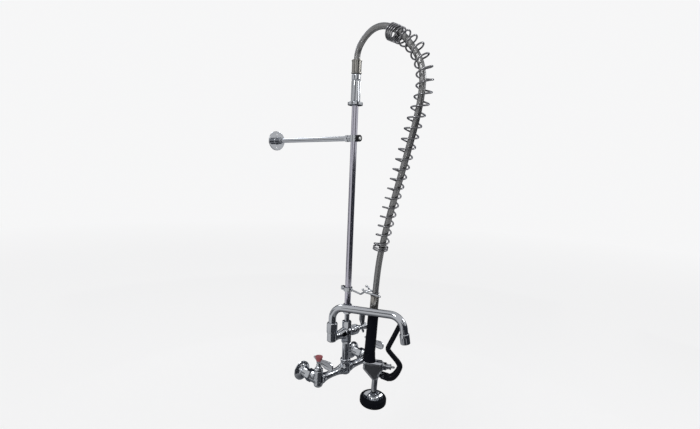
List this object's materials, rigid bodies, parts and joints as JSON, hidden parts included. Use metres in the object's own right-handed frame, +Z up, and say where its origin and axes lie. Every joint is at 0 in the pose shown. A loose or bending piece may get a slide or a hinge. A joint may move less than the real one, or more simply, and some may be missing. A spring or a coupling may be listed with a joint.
{
  "type": "commercial kitchen faucet",
  "caption": "Wall-mounted pre-rinse kitchen faucet: two-valve mixing body, tall riser with a swing-spout add-on, overhead spring hose, hook, wall bracket and squeeze spray handset.",
  "frame": {"origin": "midway between the two inlet bores, on the wall plane that the inlet flanges rest on", "axes": "+Y into the wall, +Z up along the riser, +X to the right seen from the room"},
  "size_m": [0.2552, 0.5828, 0.9959],
  "materials": {
    "chrome": "polished",
    "riser_chrome": "polished",
    "hose_steel": "brushed",
    "spring_steel": "bright drawn",
    "black_rubber": "satin",
    "black_coating": "dipped gloss",
    "black_plastic": "satin",
    "screw_steel": "brushed",
    "index_red": "moulded",
    "index_blue": "moulded",
    "brass": "machined",
    "seal_rubber": "matte"
  },
  "bodies": {
    "faucet": {"hot_inlet_flange": "chrome", "cold_inlet_flange": "chrome", "coupling_nuts": "chrome", "mixing_body": "chrome", "lower_nipple": "chrome", "union_nut": "chrome", "addon_body": "chrome", "riser_nut": "chrome", "riser_tail": "chrome", "riser_coupling": "chrome", "spring_collar": "chrome", "riser_sleeve": "chrome", "hose_nut": "chrome", "hot_bonnet": "chrome", "cold_bonnet": "chrome", "addon_bonnet": "chrome", "hook_clamp": "chrome", "hook_screw": "chrome", "hose_hook": "chrome", "spout_nut": "chrome", "riser_pipe": "riser_chrome", "hose": "hose_steel", "upper_ferrule": "hose_steel", "overhead_spring": "spring_steel", "inlet_washers": "seal_rubber", "riser_washers": "seal_rubber", "hose_washer": "seal_rubber"},
    "hot_handle": {"hot_lever": "chrome", "hot_index": "index_red", "hot_stem": "brass"},
    "cold_handle": {"cold_lever": "chrome", "cold_index": "index_blue", "cold_stem": "brass"},
    "addon_handle": {"addon_lever": "chrome", "addon_index": "chrome", "addon_stem": "brass"},
    "spout": {"spout_tube": "chrome", "spout_seals": "seal_rubber", "aerator_housing": "chrome", "aerator_insert": "black_plastic"},
    "bracket": {"bracket_collar": "chrome", "bracket_nut": "chrome", "bracket_arm": "chrome", "bracket_flange": "chrome"},
    "knob": {"bracket_knob": "black_plastic", "knob_screw": "screw_steel"},
    "handset": {"lower_ferrule": "hose_steel", "handle_tube": "brass", "grip": "black_rubber", "grip_skirt": "black_rubber", "spray_valve_body": "chrome", "valve_bonnet": "chrome", "spray_stem": "chrome", "spray_cup": "chrome", "bumper_ring": "black_rubber", "spray_plate": "screw_steel", "pivot_screw": "chrome", "plunger_spring": "spring_steel"},
    "trigger": {"trigger_lever": "black_coating"},
    "plunger": {"plunger": "chrome"}
  },
  "joints": [
    {"name": "hot_handle_turn", "type": "hinge", "parent": "faucet", "child": "hot_handle", "pos_m": [-0.1016, -0.0693, 0.05], "axis": [0, 0, 1], "range_deg": [-90, 0]},
    {"name": "cold_handle_turn", "type": "hinge", "parent": "faucet", "child": "cold_handle", "pos_m": [0.1016, -0.0693, 0.05], "axis": [0, 0, 1], "range_deg": [0, 90]},
    {"name": "addon_handle_turn", "type": "hinge", "parent": "faucet", "child": "addon_handle", "pos_m": [0.064, -0.0693, 0.104], "axis": [1, 0, 0], "range_deg": [0, 90]},
    {"name": "spout_swing", "type": "hinge", "parent": "faucet", "child": "spout", "pos_m": [-0.057, -0.0693, 0.12], "axis": [0, 0, 1], "range_deg": [-105, 0]},
    {"name": "bracket_swivel", "type": "hinge", "parent": "faucet", "child": "bracket", "pos_m": [0, -0.0693, 0.6416], "axis": [0, 0, 1], "range_deg": [-80, 80]},
    {"name": "knob_turn", "type": "hinge", "parent": "bracket", "child": "knob", "pos_m": [0, -0.0863, 0.6416], "axis": [0, 1, 0], "range_deg": [-360, 0]},
    {"name": "handset_pull", "type": "slide", "parent": "faucet", "child": "handset", "axis": [0, 0, -1], "range_m": [0, 0.25], "stiffness_N_per_m": 40, "springref_m": -0.4, "deforming": ["hose", "overhead_spring"]},
    {"name": "trigger_squeeze", "type": "hinge", "parent": "handset", "child": "trigger", "pos_m": [0.02524, -0.18613, 0.01246], "axis": [-0.788, -0.6145, -0.0384], "range_deg": [0, 10], "stiffness_Nm_per_rad": 1.5, "springref_deg": -5.73},
    {"name": "plunger_push", "type": "slide", "parent": "handset", "child": "plunger", "axis": [-0.6157, 0.7865, 0.0492], "range_m": [0, 0.007], "deforming": ["plunger_spring"]}
  ],
  "couplings": [
    {"joint": "plunger_push", "follows": "trigger_squeeze", "m_per_rad": 0.0385}
  ]
}
